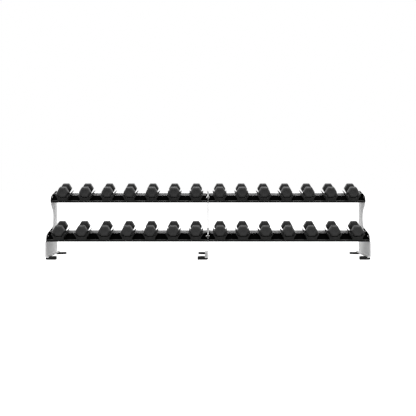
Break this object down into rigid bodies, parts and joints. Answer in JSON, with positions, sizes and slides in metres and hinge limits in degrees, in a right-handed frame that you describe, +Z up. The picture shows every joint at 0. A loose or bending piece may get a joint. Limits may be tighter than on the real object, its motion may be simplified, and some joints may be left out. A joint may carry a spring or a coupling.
{
  "type": "dumbbell rack",
  "caption": "Two-tier saddle rack with plate uprights, tilted trays and moulded saddles, holding a full row of hexagonal dumbbells on each tier.",
  "frame": {"origin": "middle of the whole outline's footprint, on the floor", "axes": "+X along the rack, +Y from the user's side to the back, +Z up"},
  "size_m": [3.2, 0.611, 0.7469],
  "materials": {
    "grey_paint": "satin light grey powder coat",
    "black_paint": "satin black powder coat",
    "saddle_plastic": "fine moulded grain",
    "foot_rubber": "matt",
    "zinc_steel": "bright zinc plate",
    "head_rubber": "black rubber skin over iron",
    "handle_chrome": "knurled satin chrome"
  },
  "bodies": {
    "rack": {"upright_left": "grey_paint", "upright_middle": "grey_paint", "upright_right": "grey_paint", "foot_left_front": "foot_rubber", "foot_left_rear": "foot_rubber", "foot_middle_front": "foot_rubber", "foot_middle_rear": "foot_rubber", "foot_right_front": "foot_rubber", "foot_right_rear": "foot_rubber", "tray_bottom_left": "black_paint", "tray_bottom_right": "black_paint", "tray_top_left": "black_paint", "tray_top_right": "black_paint", "rail_bottom_left": "grey_paint", "rail_bottom_right": "grey_paint", "rail_top_left": "grey_paint", "rail_top_right": "grey_paint", "end_plates_bottom_left": "black_paint", "end_plates_bottom_right": "black_paint", "end_plates_top_left": "black_paint", "end_plates_top_right": "black_paint", "saddles_bottom_left": "saddle_plastic", "saddles_bottom_right": "saddle_plastic", "saddles_top_left": "saddle_plastic", "saddles_top_right": "saddle_plastic", "tray_bolts": "zinc_steel", "tray_nuts": "zinc_steel", "foot_screws": "zinc_steel", "saddle_screws": "zinc_steel", "rail_screws": "zinc_steel", "rail_nuts": "zinc_steel"},
    "dumbbell_bottom_01": {"dumbbell_bottom_01": "head_rubber"},
    "dumbbell_bottom_02": {"dumbbell_bottom_02": "head_rubber"},
    "dumbbell_bottom_03": {"dumbbell_bottom_03": "head_rubber"},
    "dumbbell_bottom_04": {"dumbbell_bottom_04": "head_rubber"},
    "dumbbell_bottom_05": {"dumbbell_bottom_05": "head_rubber"},
    "dumbbell_bottom_06": {"dumbbell_bottom_06": "head_rubber"},
    "dumbbell_bottom_07": {"dumbbell_bottom_07": "head_rubber"},
    "dumbbell_bottom_08": {"dumbbell_bottom_08": "head_rubber"},
    "dumbbell_bottom_09": {"dumbbell_bottom_09": "head_rubber"},
    "dumbbell_bottom_10": {"dumbbell_bottom_10": "head_rubber"},
    "dumbbell_bottom_11": {"dumbbell_bottom_11": "head_rubber"},
    "dumbbell_bottom_12": {"dumbbell_bottom_12": "head_rubber"},
    "dumbbell_bottom_13": {"dumbbell_bottom_13": "head_rubber"},
    "dumbbell_bottom_14": {"dumbbell_bottom_14": "head_rubber"},
    "dumbbell_top_01": {"dumbbell_top_01": "head_rubber"},
    "dumbbell_top_02": {"dumbbell_top_02": "head_rubber"},
    "dumbbell_top_03": {"dumbbell_top_03": "head_rubber"},
    "dumbbell_top_04": {"dumbbell_top_04": "head_rubber"},
    "dumbbell_top_05": {"dumbbell_top_05": "head_rubber"},
    "dumbbell_top_06": {"dumbbell_top_06": "head_rubber"},
    "dumbbell_top_07": {"dumbbell_top_07": "head_rubber"},
    "dumbbell_top_08": {"dumbbell_top_08": "head_rubber"},
    "dumbbell_top_09": {"dumbbell_top_09": "head_rubber"},
    "dumbbell_top_10": {"dumbbell_top_10": "head_rubber"},
    "dumbbell_top_11": {"dumbbell_top_11": "head_rubber"},
    "dumbbell_top_12": {"dumbbell_top_12": "head_rubber"},
    "dumbbell_top_13": {"dumbbell_top_13": "head_rubber"},
    "dumbbell_top_14": {"dumbbell_top_14": "head_rubber"}
  },
  "joints": [
    {"name": "lift_dumbbell_bottom_01", "type": "slide", "parent": "rack", "child": "dumbbell_bottom_01", "axis": [0, -0.6428, 0.766], "range_m": [0, 0.45]},
    {"name": "lift_dumbbell_bottom_02", "type": "slide", "parent": "rack", "child": "dumbbell_bottom_02", "axis": [0, -0.6428, 0.766], "range_m": [0, 0.45]},
    {"name": "lift_dumbbell_bottom_03", "type": "slide", "parent": "rack", "child": "dumbbell_bottom_03", "axis": [0, -0.6428, 0.766], "range_m": [0, 0.45]},
    {"name": "lift_dumbbell_bottom_04", "type": "slide", "parent": "rack", "child": "dumbbell_bottom_04", "axis": [0, -0.6428, 0.766], "range_m": [0, 0.45]},
    {"name": "lift_dumbbell_bottom_05", "type": "slide", "parent": "rack", "child": "dumbbell_bottom_05", "axis": [0, -0.6428, 0.766], "range_m": [0, 0.45]},
    {"name": "lift_dumbbell_bottom_06", "type": "slide", "parent": "rack", "child": "dumbbell_bottom_06", "axis": [0, -0.6428, 0.766], "range_m": [0, 0.45]},
    {"name": "lift_dumbbell_bottom_07", "type": "slide", "parent": "rack", "child": "dumbbell_bottom_07", "axis": [0, -0.6428, 0.766], "range_m": [0, 0.45]},
    {"name": "lift_dumbbell_bottom_08", "type": "slide", "parent": "rack", "child": "dumbbell_bottom_08", "axis": [0, -0.6428, 0.766], "range_m": [0, 0.45]},
    {"name": "lift_dumbbell_bottom_09", "type": "slide", "parent": "rack", "child": "dumbbell_bottom_09", "axis": [0, -0.6428, 0.766], "range_m": [0, 0.45]},
    {"name": "lift_dumbbell_bottom_10", "type": "slide", "parent": "rack", "child": "dumbbell_bottom_10", "axis": [0, -0.6428, 0.766], "range_m": [0, 0.45]},
    {"name": "lift_dumbbell_bottom_11", "type": "slide", "parent": "rack", "child": "dumbbell_bottom_11", "axis": [0, -0.6428, 0.766], "range_m": [0, 0.45]},
    {"name": "lift_dumbbell_bottom_12", "type": "slide", "parent": "rack", "child": "dumbbell_bottom_12", "axis": [0, -0.6428, 0.766], "range_m": [0, 0.45]},
    {"name": "lift_dumbbell_bottom_13", "type": "slide", "parent": "rack", "child": "dumbbell_bottom_13", "axis": [0, -0.6428, 0.766], "range_m": [0, 0.45]},
    {"name": "lift_dumbbell_bottom_14", "type": "slide", "parent": "rack", "child": "dumbbell_bottom_14", "axis": [0, -0.6428, 0.766], "range_m": [0, 0.45]},
    {"name": "lift_dumbbell_top_01", "type": "slide", "parent": "rack", "child": "dumbbell_top_01", "axis": [0, -0.6428, 0.766], "range_m": [0, 0.45]},
    {"name": "lift_dumbbell_top_02", "type": "slide", "parent": "rack", "child": "dumbbell_top_02", "axis": [0, -0.6428, 0.766], "range_m": [0, 0.45]},
    {"name": "lift_dumbbell_top_03", "type": "slide", "parent": "rack", "child": "dumbbell_top_03", "axis": [0, -0.6428, 0.766], "range_m": [0, 0.45]},
    {"name": "lift_dumbbell_top_04", "type": "slide", "parent": "rack", "child": "dumbbell_top_04", "axis": [0, -0.6428, 0.766], "range_m": [0, 0.45]},
    {"name": "lift_dumbbell_top_05", "type": "slide", "parent": "rack", "child": "dumbbell_top_05", "axis": [0, -0.6428, 0.766], "range_m": [0, 0.45]},
    {"name": "lift_dumbbell_top_06", "type": "slide", "parent": "rack", "child": "dumbbell_top_06", "axis": [0, -0.6428, 0.766], "range_m": [0, 0.45]},
    {"name": "lift_dumbbell_top_07", "type": "slide", "parent": "rack", "child": "dumbbell_top_07", "axis": [0, -0.6428, 0.766], "range_m": [0, 0.45]},
    {"name": "lift_dumbbell_top_08", "type": "slide", "parent": "rack", "child": "dumbbell_top_08", "axis": [0, -0.6428, 0.766], "range_m": [0, 0.45]},
    {"name": "lift_dumbbell_top_09", "type": "slide", "parent": "rack", "child": "dumbbell_top_09", "axis": [0, -0.6428, 0.766], "range_m": [0, 0.45]},
    {"name": "lift_dumbbell_top_10", "type": "slide", "parent": "rack", "child": "dumbbell_top_10", "axis": [0, -0.6428, 0.766], "range_m": [0, 0.45]},
    {"name": "lift_dumbbell_top_11", "type": "slide", "parent": "rack", "child": "dumbbell_top_11", "axis": [0, -0.6428, 0.766], "range_m": [0, 0.45]},
    {"name": "lift_dumbbell_top_12", "type": "slide", "parent": "rack", "child": "dumbbell_top_12", "axis": [0, -0.6428, 0.766], "range_m": [0, 0.45]},
    {"name": "lift_dumbbell_top_13", "type": "slide", "parent": "rack", "child": "dumbbell_top_13", "axis": [0, -0.6428, 0.766], "range_m": [0, 0.45]},
    {"name": "lift_dumbbell_top_14", "type": "slide", "parent": "rack", "child": "dumbbell_top_14", "axis": [0, -0.6428, 0.766], "range_m": [0, 0.45]}
  ]
}
